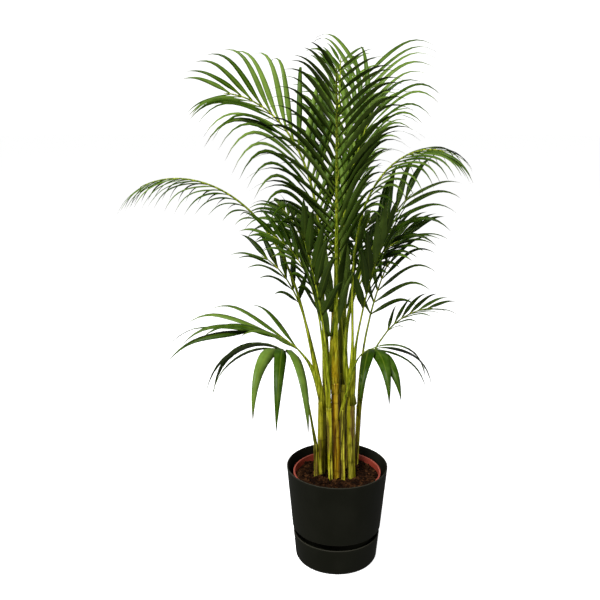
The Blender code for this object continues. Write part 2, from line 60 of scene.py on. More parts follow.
WELD = 1e-5                    # points of a CAD mesh that are nearer than this are one
BLUNTEST_TIP = 0.1             # cosine between a tip's axis and its edges

BLADE_STATIONS = 13            # cross-sections along a leaflet
BLADE_SIDES = 6                # points round each of them
LONG_SHARES = (1 / 3, 2 / 3)   # where the CAD's rings lie along a long leaflet
SHORT_SHARES = (5 / 12,)       # where the CAD's one ring lies along a short leaflet
BLADE_FULLNESS = 1.18          # visible leaflet's width against the CAD leaflet's
SLENDER = {                    # fronds with narrower visible leaflets
    "frond_arch_left": 0.66,
    "frond_arch_right": 0.85,
    "frond_low_right": 0.85,
    "frond_small_right": 0.72,
}
BLADE_WIDEST = 0.30            # where a leaflet is widest, per length
BLADE_FOOT = 0.30              # its width at the rachis, per widest
BLADE_TAPER = (1.5, 1.05)      # powers that shape it from there to its tip
BLADE_LEAST = 0.0004           # least half width
BLADE_FOLD = 0.30              # how far the midrib stands above the edges, per half width
FOLD_EASE = 0.4                # share of the fold that is gone at the tip
BLADE_THICKNESS = 0.0005
BLADE_THINNING = 0.6           # share of the thickness that is gone at the tip
BLADE_EDGE = 0.25              # half thickness at the edges, per thickness at the midrib
BLADE_RIPPLE = 0.06            # rise and fall of the edges, per half width
RIPPLE_TURN = 9                # how far that wave runs along a leaflet, in radians
BLADE_TWIST = 0.35             # largest turn of a leaflet about itself, in radians
BLADE_BEND = 0.02              # largest sideways bow, per length
BLADE_CURL = 0.085             # extra sag of a leaflet's outer part, per length
CURL_FROM = 0.6                # where along a leaflet that sag begins
CURL_RISE = 6                  # how steeply it grows from there

FRESH = {                      # fronds with paler leaflets
    "frond_broad_left": 0.30,
    "frond_low_left": 0.25,
    "frond_young_left": 0.50,
    "frond_young_right": 0.50,
}
PALE_FROM = 0.60               # leaflets rooted above this height grow paler
PALE_OVER = 0.50               # over this height
PALE_SHARE = 0.38              # and by this share

STALK_SIDES = 10
STALK_STEP = 0.009             # spacing of cross-sections along a stalk
STALK_TIP = 0.0004             # half width at a rachis's tip
STALK_FULLNESS = 1.32          # visible stalk against the CAD stalk
CHANNEL_DEPTH = 0.45           # groove along a stalk's upper side, per half thickness
CHANNEL_POWER = 6              # how narrow the groove is
SHEATH_SINK = (0.006, 0.030)   # how far a leaf sheath reaches below its cane's top
SHEATH_FULLNESS = (1.00, 1.06)  # radius of a leaf sheath against its cane's top
SHEATH_LENGTH = 0.170          # where a stalk wraps its cane and narrows from it
THIN_SHEATH_LENGTH = 0.070
SHEATH_POWER = 1.3             # how fast the sheath narrows
THIN_CANE = 0.0072             # radius below which a cane counts as thin
AMBER_SHARE = 0.8              # how amber the stalks on an amber cane begin

CANE_SIDES = 44
CANE_STEP = 0.0035             # spacing of cross-sections along a cane
CANE_ROUGHNESS = 0.035         # unevenness of a cane, per radius
ROUGH_ROUND = 1.5              # how fine the unevenness is round a cane
ROUGH_ALONG = 26               # and along it
ROUGH_APART = 40               # keeps one cane's unevenness apart from the next one's
SCAR_SPACING = 0.044
SCAR_REACH = (0.04, 0.02)      # a scar's fade above and below its ring, per spacing
SCAR_DEPTH = 0.03              # per radius
SWELL = 0.05                   # bulge above a scar, per radius
SWELL_AT = 0.06                # its height above the scar, per spacing
SWELL_REACH = 0.10
SEAMS = 5                      # lengthwise edges of the old leaf sheaths on a cane
SEAM_WIDTH = 0.24              # in radians
SEAM_DRIFT = 2.5               # largest turn of a seam, in radians per metre
SEAM_DEPTH = 0.07              # per radius
SCRAPS = 5                     # dry scraps of sheath on a cane
SCRAP_PLACES = (0.15, 0.80)    # where they may lie along the cane
SCRAP_SIZES = (0.5, 1.1)
SCRAP_HEIGHT = 0.055           # reach along the cane of a scrap of size 1
SCRAP_NARROWING = 1.5          # how much less it reaches round the cane
SCRAP_CORE = 0.8               # share of a scrap that is not yet fading
SCRAP_FADE = 0.25
SCRAP_RISE = 0.05              # per radius
TEAR_SCALE = 2.3               # the noise that tears the scraps, against the unevenness
TEAR_LEVEL = -0.25

POT_SIDES = 168
POT_EDGE = 0.0009              # rounding of a pot's edges
POT_RUN = 0.012                # longest straight run between two rings of a pot
SHARPEST_SMOOTH = 0.25         # a bend below this, in radians, is not rounded
CORNER_SHARE = 0.45            # most of a straight run that a rounding may take
CORNER_STOPS = (0.0, 0.25, 0.5, 0.75, 1.0)
AXIS_RADIUS = 1e-4             # a section that ends nearer to the axis than this is closed

SOIL_RINGS = 54
SOIL_SPOKES = 168
SOIL_LUMPS = (                 # fineness, place in the noise, height
    (28, 3.0, 0.0022),
    (95, 7.0, 0.0034),
    (330, 1.0, 0.0015),
)
SOIL_RIM = 0.006               # depth below its top in which the CAD soil's brim lies
SOIL_SINK = 0.0005             # how far the bed lies below the middle of the CAD's bumps
SOIL_FOOT = 0.001              # how exactly its brim and foot are found
BRIM_FALL = 0.003              # how far the bed falls towards the pot's wall
BRIM_FROM = 0.93               # and where that begins, per radius
SOIL_TONE = (60, 5.0)          # fineness of its lighter patches, place in the noise
CRUMBS = 420
CRUMB_MARGIN = 0.006           # distance that crumbs keep from the pot's wall
CRUMB_SIZES = (0.0014, 0.0040)  # smallest radius, and what the largest adds to it
CRUMB_STRETCH = ((0.7, 1.8), (0.7, 1.2), (0.5, 0.9))
CRUMB_ROUGHNESS = 0.35
CRUMB_RISE = 0.25              # how far a crumb's middle lies above the bed, per size

STUDIO_RADIUS = 30.0
FLOOR_GLOW = 0.80
BACKDROP_GLOW = 1.0
ROOM_LIGHT = 0.22
LIGHTS = (                     # name, place, aim, size and power in watts
    ("key", (-0.9, -1.7, 2.9), (0, 0, 0.7), 1.1, 165),
    ("fill", (1.9, -1.5, 1.6), (0, 0, 0.7), 1.4, 22),
    ("edge", (-1.9, 0.5, 0.8), (0, 0, 0.4), 0.9, 14),
)

CAMERA_PLACE = (-0.0904, -1.6854, 1.0904)
CAMERA_TURN = (75.535, 0.0, 0.0)
CAMERA_LENS = 45.305
CAMERA_SENSOR = 36.0

# ---------------------------------------------------------------- colours

BLADE_GREENS = (               # place on the ramp and colour
    (0.20, (0.0028, 0.0110, 0.0001)),
    (0.46, (0.016, 0.044, 0.0004)),
    (0.84, (0.118, 0.190, 0.030)),
)
BLADE_FOOT_GREEN = (0.100, 0.140, 0.004)
BLADE_VEIN_GREEN = (0.050, 0.078, 0.006)
BLADE_MIDRIB_GREEN = (0.120, 0.150, 0.015)
BLADE_UNDER_GREEN = (0.050, 0.075, 0.014)
BLADE_DRY_BROWN = (0.070, 0.055, 0.025)
STALK_GREENS = (
    (0.0, (0.250, 0.240, 0.007)),
    (0.22, (0.170, 0.215, 0.005)),
    (0.50, (0.130, 0.185, 0.006)),
    (1.0, (0.090, 0.135, 0.008)),
)
STALK_AMBER = (0.380, 0.230, 0.005)
STALK_PALE = (0.480, 0.500, 0.045)
STALK_DARK = (0.022, 0.032, 0.0006)
STALK_SHADE = (0.024, 0.040, 0.0006)
# the pale colour makes streaks that are partly the cane's own striping and partly painted
# highlight
CANE_COLOURS = {               # dark, middle and pale
    "green_cane": ((0.034, 0.028, 0.0006), (0.390, 0.370, 0.006), (0.780, 0.730, 0.070)),
    "amber_cane": ((0.070, 0.026, 0.0006), (0.480, 0.260, 0.004), (0.640, 0.480, 0.025)),
}
SCRAP_BROWNS = ((0.040, 0.020, 0.003), (0.170, 0.095, 0.018))
POT_LOOKS = {
    "black_plastic": {
        "body": (0.0066, 0.0070, 0.0038),
        # edge: colour of a painted highlight on the rounded rims of the black pot
        "edge": (0.050, 0.046, 0.034),
        "dust": (0.0105, 0.0108, 0.0066),
        "roughness": 0.50,
        "specular": 0.10,
    },
    "terracotta_plastic": {
        "body": (0.280, 0.040, 0.022),
        # edge: colour of a painted highlight on the rounded rims of the nursery pot
        "edge": (0.560, 0.210, 0.160),
        "dust": (0.220, 0.034, 0.019),
        "roughness": 0.45,
        "specular": 0.25,
    },
}
SOIL_BROWNS = (
    (0.36, (0.0018, 0.0005, 0.0001)),
    (0.52, (0.013, 0.0042, 0.0009)),
    (0.66, (0.070, 0.028, 0.009)),
    (0.84, (0.190, 0.100, 0.042)),
)
SOIL_FIBRE = (0.200, 0.140, 0.070)


# ---------------------------------------------------------------- small helpers


def unit(vector):
    return vector / max(1e-9, np.linalg.norm(vector))


def blend(a, b, share):
    return a + (b - a) * share


def smooth(share):
    share = min(1.0, max(0.0, share))
    return share * share * (3 - 2 * share)


def closed_ring_faces(first, second, count):
    """Quads between two rings of points given by their first indices."""
    return [
        (first + k, first + (k + 1) % count, second + (k + 1) % count, second + k)
        for k in range(count)
    ]


def tube_faces(rings, count):
    """Walls through rings of count points each, and the foot that closes them."""
    faces = [tuple(range(count - 1, -1, -1))]
    for k in range(rings - 1):
        faces += closed_ring_faces(count * k, count * (k + 1), count)
    return faces


def lid_face(rings, count):
    """The face that closes the last ring."""
    last = count * (rings - 1)
    return tuple(last + k for k in range(count))


def flipped(faces):
    """The same faces, looking the other way."""
    return [face[::-1] for face in faces]


def circle(radius, height, count):
    """Points round the upright axis."""
    turns = [2 * math.pi * k / count for k in range(count)]
    return [(radius * math.cos(turn), radius * math.sin(turn), height) for turn in turns]


class Shape:
    """Points, faces and per-point values that become one mesh object."""

    def __init__(self, *value_names):
        self.points = []
        self.faces = []
        self.materials = []
        self.values = {name: [] for name in value_names}

    def add(self, points, faces, material=0, **values):
        start = len(self.points)
        self.points += [tuple(point) for point in points]
        self.faces += [tuple(start + k for k in face) for face in faces]
        self.materials += [material] * len(faces)
        for name, store in self.values.items():
            given = values.get(name, 0.0)
            if isinstance(given, (int, float)):
                given = [given] * len(points)
            store += [float(value) for value in given]

    def build(self, name, materials):
        mesh = bpy.data.meshes.new(name)
        mesh.from_pydata(self.points, [], self.faces)
        for material in materials:
            mesh.materials.append(material)
        mesh.polygons.foreach_set("material_index", self.materials)
        mesh.polygons.foreach_set("use_smooth", [True] * len(self.faces))
        for value_name, store in self.values.items():
            layer = mesh.attributes.new(value_name, "FLOAT", "POINT")
            layer.data.foreach_set("value", store)
        mesh.update()
        obj = bpy.data.objects.new(name, mesh)
        bpy.context.scene.collection.objects.link(obj)
        return obj


def settle(piece, node):
    """The piece stands for one CAD node."""
    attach(piece, "root")
    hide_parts(node)


# ---------------------------------------------------------------- materials


class Nodes:
    """A short way to wire one material."""

    def __init__(self, name):
        self.material = bpy.data.materials.new(name)
        self.material.use_nodes = True
        self.tree = self.material.node_tree
        self.shader = self.tree.nodes["Principled BSDF"]

    def new(self, kind, **settings):
        node = self.tree.nodes.new(kind)
        for key, value in settings.items():
            setattr(node, key, value)
        return node

    def link(self, source, target):
        self.tree.links.new(source, target)

    def feed(self, socket, value):
        """A number, a colour or another node's output into a socket."""
        if isinstance(value, tuple):
            socket.default_value = (*value, 1)
        elif isinstance(value, (int, float)):
            socket.default_value = value
        else:
            self.link(value, socket)

    def value(self, name):
        """A per-point value stored on the mesh."""
        return self.new("ShaderNodeAttribute", attribute_name=name).outputs["Fac"]

    def place(self, stretch=(1, 1, 1)):
        """Position on the object, stretched before it reaches a texture."""
        where = self.new("ShaderNodeTexCoord").outputs["Object"]
        mapping = self.new("ShaderNodeMapping")
        mapping.inputs["Scale"].default_value = stretch
        self.link(where, mapping.inputs["Vector"])
        return mapping.outputs["Vector"]

    def noise(self, vector, scale, detail=3.0, roughness=0.55):
        node = self.new("ShaderNodeTexNoise")
        node.inputs["Scale"].default_value = scale
        node.inputs["Detail"].default_value = detail
        node.inputs["Roughness"].default_value = roughness
        self.link(vector, node.inputs["Vector"])
        return node.outputs["Fac"]

    def combine(self, x, y, z):
        node = self.new("ShaderNodeCombineXYZ")
        for socket, value in zip(node.inputs, (x, y, z)):
            self.feed(socket, value)
        return node.outputs["Vector"]

    def math(self, operation, a, b=0.0):
        node = self.new("ShaderNodeMath", operation=operation)
        for socket, value in zip(node.inputs, (a, b)):
            self.feed(socket, value)
        return node.outputs["Value"]

    def span(self, value, low, high, to_low=0.0, to_high=1.0):
        """The value eased from one span to another, held at its ends."""
        node = self.new("ShaderNodeMapRange", interpolation_type="SMOOTHSTEP")
        self.link(value, node.inputs["Value"])
        node.inputs["From Min"].default_value = low
        node.inputs["From Max"].default_value = high
        node.inputs["To Min"].default_value = to_low
        node.inputs["To Max"].default_value = to_high
        return node.outputs["Result"]

    def ramp(self, value, stops):
        """A colour for the value, from stops that are listed from low to high."""
        node = self.new("ShaderNodeValToRGB")
        ramp = node.color_ramp
        for stop, (place, colour) in zip(ramp.elements, (stops[0], stops[-1])):
            stop.position = place
            stop.color = (*colour, 1)
        for place, colour in stops[1:-1]:
            ramp.elements.new(place).color = (*colour, 1)
        self.link(value, node.inputs["Fac"])
        return node.outputs["Color"]

    def mix(self, share, a, b):
        """The first colour drawn towards the second by the share."""
        node = self.new("ShaderNodeMix", data_type="RGBA")
        sockets = [node.inputs[0], node.inputs[6], node.inputs[7]]
        for socket, value in zip(sockets, (share, a, b)):
            self.feed(socket, value)
        return node.outputs[2]

    def tint(self, colour, other, value, most):
        """The colour drawn towards another, by this much where the value is 1."""
        return self.mix(self.math("MULTIPLY", value, most), colour, other)

    def weigh(self, a, share_a, b, share_b):
        """The sum of two values, each times its share."""
        return self.math(
            "ADD", self.math("MULTIPLY", a, share_a), self.math("MULTIPLY", b, share_b)
        )

    def bump(self, height, strength, distance):
        node = self.new("ShaderNodeBump")
        node.inputs["Strength"].default_value = strength
        node.inputs["Distance"].default_value = distance
        self.link(height, node.inputs["Height"])
        self.link(node.outputs["Normal"], self.shader.inputs["Normal"])

    def finish(self, colour, roughness, specular):
        self.link(colour, self.shader.inputs["Base Color"])
        self.feed(self.shader.inputs["Roughness"], roughness)
        self.shader.inputs["Specular IOR Level"].default_value = specular
        return self.material


def blade_material():
    """Leaflet: green by its tone, with paler midrib and veins, yellower near the rachis."""
    n = Nodes("palm_blade")
    along = n.value("along")
    across = n.value("across")
    tone = n.value("tone")
    patches = n.noise(n.place(), scale=38)
    green = n.ramp(n.weigh(tone, 0.62, patches, 0.38), BLADE_GREENS)
    green = n.mix(n.span(along, 0.0, 0.22, 0.45, 0.0), green, BLADE_FOOT_GREEN)
    lengthwise = n.combine(n.math("MULTIPLY", along, 1.5), n.math("MULTIPLY", across, 9.0), tone)
    veins = n.noise(lengthwise, scale=2.2, detail=2)
    green = n.mix(n.span(veins, 0.42, 0.70, 0.0, 0.30), green, BLADE_VEIN_GREEN)
    midrib = n.math("SUBTRACT", 1.0, n.math("ABSOLUTE", across))
    green = n.mix(n.span(midrib, 0.86, 1.0, 0.0, 0.40), green, BLADE_MIDRIB_GREEN)
    green = n.tint(green, BLADE_UNDER_GREEN, n.value("under"), 0.35)
    dry = n.math("MULTIPLY", n.span(along, 0.86, 1.0), n.span(tone, 0.35, 0.7))
    green = n.mix(dry, green, BLADE_DRY_BROWN)
    n.bump(veins, strength=0.25, distance=0.0006)
    return n.finish(green, n.span(patches, 0.3, 0.7, 0.30, 0.44), specular=0.08)


def stalk_material():
    """Leaf stalk: yellow-green, darker green towards the tip, with fine streaks."""
    n = Nodes("palm_stalk")
    streaks = n.noise(n.place((1.0, 1.0, 0.04)), scale=360, detail=4, roughness=0.6)
    base = n.ramp(n.value("along"), STALK_GREENS)
    base = n.mix(n.value("amber"), base, STALK_AMBER)
    base = n.mix(n.span(streaks, 0.50, 0.64, 0.0, 0.75), base, STALK_PALE)
    base = n.mix(n.span(streaks, 0.36, 0.48, 0.85, 0.0), base, STALK_DARK)
    base = n.mix(n.span(n.value("tone"), 0.0, 0.6, 0.45, 0.0), base, STALK_SHADE)
    n.bump(streaks, strength=0.2, distance=0.0006)
    return n.finish(base, 0.42, specular=0.10)


def cane_material(slot):
    """Stem: streaked along its length with pale streaks that are partly painted highlights, dark
    at scars and seams, brown where a scrap clings.
    """
    dark, middle, pale = CANE_COLOURS[slot]
    n = Nodes(slot)
    husk = n.value("husk")
    streaks = n.noise(n.place((1.0, 1.0, 0.05)), scale=300, detail=4, roughness=0.6)
    bands = n.noise(n.place((1.0, 1.0, 0.05)), scale=120, detail=2, roughness=0.5)
    patches = n.noise(n.place((1.0, 1.0, 0.30)), scale=60, detail=4, roughness=0.6)
    colour = n.mix(n.span(bands, 0.42, 0.54), dark, middle)
    # pale streaks: partly the cane's own striping, partly painted highlight
    colour = n.mix(n.span(streaks, 0.46, 0.62, 0.0, 0.85), colour, pale)
    colour = n.mix(n.span(patches, 0.52, 0.66, 0.0, 0.7), colour, dark)
    colour = n.tint(colour, dark, n.value("tone"), 0.5)
    colour = n.tint(colour, dark, n.value("ring"), 0.45)
    colour = n.tint(colour, dark, n.value("seam"), 0.92)
    colour = n.tint(colour, n.mix(n.span(streaks, 0.35, 0.7), *SCRAP_BROWNS), husk, 0.8)
    n.bump(streaks, strength=0.35, distance=0.0008)
    return n.finish(colour, n.span(husk, 0.0, 1.0, 0.34, 0.75), specular=0.20)


def pot_material(name, body, edge, dust, roughness, specular):
    """Moulded plastic: a faint grain, a painted highlight on its softened edges and a little dust.
    """
    n = Nodes(name)
    grain = n.noise(n.place(), scale=900, detail=2)
    clouds = n.noise(n.place((1.0, 1.0, 0.6)), scale=16, detail=4, roughness=0.6)
    rings = n.noise(n.place((0.6, 0.6, 26.0)), scale=30, detail=2)
    colour = n.mix(n.span(clouds, 0.35, 0.75, 0.0, 0.6), body, dust)
    # painted highlight: the rounded edges are drawn towards a pale colour
    colour = n.tint(colour, edge, n.value("edge"), 0.7)
    n.bump(n.weigh(grain, 0.6, rings, 0.4), strength=0.18, distance=0.0004)
    return n.finish(colour, n.span(clouds, 0.3, 0.7, roughness, roughness + 0.12), specular)


def soil_material():
    """Damp potting mix: near-black peat with brown bark and pale fibres."""
    n = Nodes("potting_soil")
    crumbs = n.noise(n.place(), scale=190, detail=6, roughness=0.7)
    fibres = n.noise(n.place((1.0, 0.35, 1.0)), scale=420, detail=4, roughness=0.6)
    colour = n.ramp(n.weigh(crumbs, 0.75, n.value("tone"), 0.25), SOIL_BROWNS)
    colour = n.mix(n.span(fibres, 0.66, 0.74, 0.0, 0.6), colour, SOIL_FIBRE)
    n.bump(crumbs, strength=0.8, distance=0.0016)
    return n.finish(colour, 0.85, specular=0.06)


# ---------------------------------------------------------------- reading the CAD back


class Solid:
    """A CAD node's welded points and which points are joined by an edge."""

    def __init__(self, node):
        mesh = bmesh.new()
        mesh.from_mesh(frame["nodes"][node].data)
        bmesh.ops.remove_doubles(mesh, verts=mesh.verts, dist=WELD)
        mesh.verts.ensure_lookup_table()
        self.points = np.array([vert.co for vert in mesh.verts], float)
        self.mates = [[e.other_vert(v).index for e in v.link_edges] for v in mesh.verts]
        mesh.free()

    def ring_beyond(self, ring, seen, within=None):
        found = {mate for k in ring for mate in self.mates[k]} - seen
        return sorted(found & within) if within is not None else sorted(found)

    def apices(self):
        """Points where four faces meet in a tip, the slenderest first."""
        found = []
        for index, mates in enumerate(self.mates):
            if len(mates) != 4:
                continue
            ways = np.array([unit(self.points[k] - self.points[index]) for k in mates])
            slender = (ways @ unit(ways.sum(axis=0))).min()
            if slender > BLUNTEST_TIP:
                found.append((-slender, index))
        return [index for slender, index in sorted(found)]

    def chain(self, apex):
        """The rings of four that follow an apex, up to the stalk."""
        rings = []
        seen = {apex}
        ring = [apex]
        while True:
            ring = self.ring_beyond(ring, seen)
            if len(ring) != 4:
                return rings
            seen |= set(ring)
            rings.append(ring)


def read_frond(node):
    """Leaflets as (apex, rings from tip to base) and the stalk's rings from foot to tip."""
    solid = Solid(node)
    leaflets = []
    tip = None
    for apex in solid.apices():
        rings = solid.chain(apex)
        if len(rings) > 1:
            leaflets.append((apex, rings))
        elif len(rings) == 1 and tip is None:
            tip = (apex, rings[0])
    leafy = {apex for apex, rings in leaflets}
    leafy |= {k for apex, rings in leaflets for ring in rings[:-1] for k in ring}
    stalk = set(range(len(solid.points))) - leafy
    rings = [tip[1]]
    seen = {tip[0], *tip[1]}
    while True:
        ring = solid.ring_beyond(rings[-1], seen, stalk)
        if not ring:
            break
        seen |= set(ring)
        rings.append(ring)
    whole = [ring for ring in rings if len(ring) == 4]
    return solid.points, leaflets, whole[::-1], solid.points[tip[0]]


# ---------------------------------------------------------------- fronds


def curve_through(knots, shares, share):
    """A point on the polynomial through the knots at their shares."""
    total = np.zeros(3)
    for i, knot in enumerate(knots):
        weight = 1.0
        for j in range(len(knots)):
            if j != i:
                weight *= (share - shares[j]) / (shares[i] - shares[j])
        total += weight * knot
    return total


def blade_width(share):
    """Half width along a leaflet, as a share of its widest."""
    if share < BLADE_WIDEST:
        return blend(BLADE_FOOT, 1.0, smooth(share / BLADE_WIDEST))
    early, late = BLADE_TAPER
    return (1 - ((share - BLADE_WIDEST) / (1 - BLADE_WIDEST)) ** early) ** late


def leaflet_line(points, leaflet):
    """The CAD leaflet's middle points from base to tip, and where each lies along it."""
    apex, rings = leaflet
    base = points[rings[-1]].mean(axis=0)
    marks = [points[ring].mean(axis=0) for ring in rings[-2::-1]]
    inner = LONG_SHARES if len(marks) == len(LONG_SHARES) else SHORT_SHARES
    return [base, *marks, points[apex]], [0.0, *inner, 1.0]


def blade_section(centre, wide, lift, half, share, wave):
    """Six points round a folded blade, left to right on top and back underneath."""
    fold = BLADE_FOLD * half * (1 - FOLD_EASE * share)
    ripple = BLADE_RIPPLE * half * math.sin(wave + RIPPLE_TURN * share)
    thick = BLADE_THICKNESS * (1 - BLADE_THINNING * share)
    left = centre - wide * half - lift * (fold - ripple)
    right = centre + wide * half - lift * (fold + ripple)
    return [
        left + lift * thick * BLADE_EDGE,
        centre + lift * thick * 0.5,
        right + lift * thick * BLADE_EDGE,
        right - lift * thick * BLADE_EDGE,
        centre - lift * thick * 0.5,
        left - lift * thick * BLADE_EDGE,
    ]


def add_blade(shape, node, points, leaflet, upper, chance):
    """One leaflet as a thin closed blade with a raised midrib."""
    knots, shares = leaflet_line(points, leaflet)
    length = sum(np.linalg.norm(b - a) for a, b in zip(knots, knots[1:]))
    first = points[leaflet[1][-2]]
    arms = first - first.mean(axis=0)
    reach = unit(arms[0] + max(arms[1:], key=lambda arm: arm @ arms[0]))
    widest = max(abs(arms @ reach)) * BLADE_FULLNESS * SLENDER.get(node, 1.0)
    twist = chance.uniform(-BLADE_TWIST, BLADE_TWIST)
    wave = chance.uniform(0, 2 * math.pi)
    pale = smooth((knots[0][2] - PALE_FROM) / PALE_OVER)
    tone = blend(chance.random(), pale, PALE_SHARE) + FRESH.get(node, 0.0)
    side_bend = chance.uniform(-BLADE_BEND, BLADE_BEND) * length
    places = [k / (BLADE_STATIONS - 1) for k in range(BLADE_STATIONS)]
    centres = []
    for share in places:
        sag = BLADE_CURL * length * max(0, share - CURL_FROM) ** 2 * CURL_RISE
        centre = curve_through(knots, shares, share) - np.array([0, 0, sag])
        centres.append(centre + reach * side_bend * math.sin(math.pi * share))
    cross_sections = []
    for k, share in enumerate(places[:-1]):
        way = unit(centres[k + 1] - centres[max(0, k - 1)])
        wide = unit(reach - way * (way @ reach))
        lift = np.cross(way, wide)
        if lift @ upper < 0:
            lift = -lift
        turn = twist * share
        wide, lift = (
            math.cos(turn) * wide + math.sin(turn) * lift,
            math.cos(turn) * lift - math.sin(turn) * wide,
        )
        half = max(BLADE_LEAST, widest * blade_width(share))
        cross_sections.append(blade_section(centres[k], wide, lift, half, share, wave))
    write_blade(shape, cross_sections, centres[-1], tone)


def write_blade(shape, cross_sections, tip, tone):
    """The faces through a leaflet's cross-sections, drawn together at its tip."""
    count = len(cross_sections)
    points = [point for section in cross_sections for point in section] + [tip]
    first, second = cross_sections[:2]
    facing = np.cross(first[2] - first[0], second[1] - first[1]) @ (first[1] - first[4])
    faces = tube_faces(count, BLADE_SIDES)
    last = lid_face(count, BLADE_SIDES)
    faces += [(k, after, len(points) - 1) for k, after in zip(last, last[1:] + last[:1])]
    shape.add(
        points,
        flipped(faces) if facing > 0 else faces,
        along=[k / count for k in range(count) for _ in range(BLADE_SIDES)] + [1.0],
        across=[-1.0, 0.0, 1.0, 1.0, 0.0, -1.0] * count + [0.0],
        under=[0.0, 0.0, 0.0, 1.0, 1.0, 1.0] * count + [0.5],
        tone=tone,
    )


def spline(knots, step):
    """Points on a smooth curve through the knots, with the knot number of each."""
    padded = [2 * knots[0] - knots[1], *knots, 2 * knots[-1] - knots[-2]]
    line = []
    for k in range(len(knots) - 1):
        a, b, c, d = padded[k : k + 4]
        count = max(1, round(np.linalg.norm(c - b) / step))
        for j in range(count):
            t = j / count
            point = 0.5 * (
                2 * b
                + (c - a) * t
                + (2 * a - 5 * b + 4 * c - d) * t**2
                + (3 * b - a - 3 * c + d) * t**3
            )
            line.append((k + t, point))
    line.append((len(knots) - 1.0, knots[-1]))
    return line


def stalk_frames(points, rings, tip):
    """Middle of each stalk ring and the tip, and the way, side and upper side at each."""
    centres = [points[ring].mean(axis=0) for ring in rings] + [tip]
    ahead = unit((tip - centres[0]) * [1, 1, 0])
    frames = []
    for k, ring in enumerate(rings):
        way = unit(centres[k + 1] - centres[max(0, k - 1)])
        lean = np.array([0, 0, way @ ahead]) - way[2] * ahead
        arms = points[ring] - centres[k]
        top = unit(lean - way * (way @ lean))
        if frames:
            top = unit(frames[-1][2] - way * (way @ frames[-1][2]))
        sums = [arms[i] + arms[j] for i in range(4) for j in range(i)]
        sides = sorted(sums, key=np.linalg.norm)[2:]
        best = max((unit(middle) for middle in sides), key=lambda middle: middle @ top)
        top = unit(best - way * (way @ best)) if k else top
        side = np.cross(way, top)
        frames.append((way, side, top))
    frames.append(frames[-1])
    return centres, frames


def cane_under(place, heads):
    """Centre, radius and amber share of the cane top that is nearest to a place."""
    return min(heads, key=lambda head: np.linalg.norm(head[0] - place))


def add_stalk(shape, points, rings, tip, heads, chance):
    """The leaf stalk and rachis: a sheath round the cane, then round with a shallow channel."""
    centres, frames = stalk_frames(points, rings, tip)
    head, head_radius, amber = cane_under(centres[0], heads)
    sheath = SHEATH_LENGTH if head_radius > THIN_CANE else THIN_SHEATH_LENGTH
    shift = (head - centres[0]) * [1, 1, 0]
    snug = chance.uniform(*SHEATH_FULLNESS) * head_radius
    sink = chance.uniform(*SHEATH_SINK)
    wides = [max(abs((points[ring] - c) @ f[1])) for ring, c, f in zip(rings, centres, frames)]
    thicks = [max(abs((points[ring] - c) @ f[2])) for ring, c, f in zip(rings, centres, frames)]
    wides.append(STALK_TIP)
    thicks.append(STALK_TIP)
    line = spline(centres, STALK_STEP)
    travelled = 0.0
    total = sum(np.linalg.norm(b[1] - a[1]) for a, b in zip(line, line[1:]))
    stations = []
    before = line[0][1]
    for place, centre in line:
        travelled += np.linalg.norm(centre - before)
        before = centre
        low = min(int(place), len(rings) - 1)
        t = place - low
        side = unit(blend(frames[low][1], frames[low + 1][1], t))
        top = unit(blend(frames[low][2], frames[low + 1][2], t))
        wide = blend(wides[low], wides[low + 1], t)
        thick = blend(thicks[low], thicks[low + 1], t)
        wrap = (1 - smooth(travelled / sheath)) ** SHEATH_POWER
        wide = blend(wide * STALK_FULLNESS, snug, wrap)
        thick = blend(thick * STALK_FULLNESS, snug, wrap)
        stations.append((travelled / total, centre + shift * wrap, side, top, wide, thick))
    foot_way = frames[0][0]
    section_points, along, ambers = [], [], []
    tone = chance.random()
    for share, centre, side, top, wide, thick in stations:
        if share == 0:
            centre = centre - foot_way * sink
        for k in range(STALK_SIDES):
            turn = 2 * math.pi * k / STALK_SIDES
            groove = max(0.0, math.sin(turn)) ** CHANNEL_POWER
            channel = 1 - CHANNEL_DEPTH * groove * (1 - share)
            section_points.append(
                centre
                + side * wide * math.cos(turn)
                + top * thick * channel * math.sin(turn)
            )
            along.append(share)
            ambers.append(amber * (1 - smooth(share * total / sheath)))
    faces = tube_faces(len(stations), STALK_SIDES)
    faces.append(lid_face(len(stations), STALK_SIDES))
    if np.cross(stations[0][2], stations[0][3]) @ foot_way < 0:
        faces = flipped(faces)
    shape.add(section_points, faces, material=1, along=along, tone=tone, amber=ambers)
    return centres, frames


def build_frond(node, materials, heads, chance):
    points, leaflets, rings, tip = read_frond(node)
    shape = Shape("along", "across", "tone", "under", "amber")
    centres, frames = add_stalk(shape, points, rings, tip, heads, chance)
    spots = np.array(centres)
    for leaflet in leaflets:
        base = points[leaflet[1][-1]].mean(axis=0)
        nearest = int(np.argmin(np.linalg.norm(spots - base, axis=1)))
        add_blade(shape, node, points, leaflet, frames[nearest][2], chance)
    piece = shape.build(node + "_leafy", materials)
    settle(piece, node)


# ---------------------------------------------------------------- canes


def cane_stations(node):
    """Centre and radius of each level ring of a CAD cane, from the foot up."""
    points = Solid(node).points
    rings = []
    for height in sorted({round(z, 5) for z in points[:, 2]}):
        ring = points[abs(points[:, 2] - height) < 2e-5]
        if len(ring) < 6:
            continue
        centre = ring.mean(axis=0)
        rings.append((centre, np.linalg.norm((ring - centre)[:, :2], axis=1).mean()))
    return rings


def scar_at(cycle):
    """How deep a ring scar is, by how far up its spacing a spot lies."""
    above, below = SCAR_REACH
    return max(math.exp(-((cycle / above) ** 2)), math.exp(-(((1 - cycle) / below) ** 2)))


def husk_at(share, turn, length, scraps):
    """How much of a dry scrap of sheath lies on a spot of a cane."""
    husk = 0.0
    for place, aim, size in scraps:
        far = math.hypot(
            (share - place) * length / SCRAP_HEIGHT,
            math.sin(0.5 * (turn - aim)) * 2 * SCRAP_NARROWING,
        )
        husk = max(husk, 1 - smooth((far - size * SCRAP_CORE) / SCRAP_FADE))
    return husk


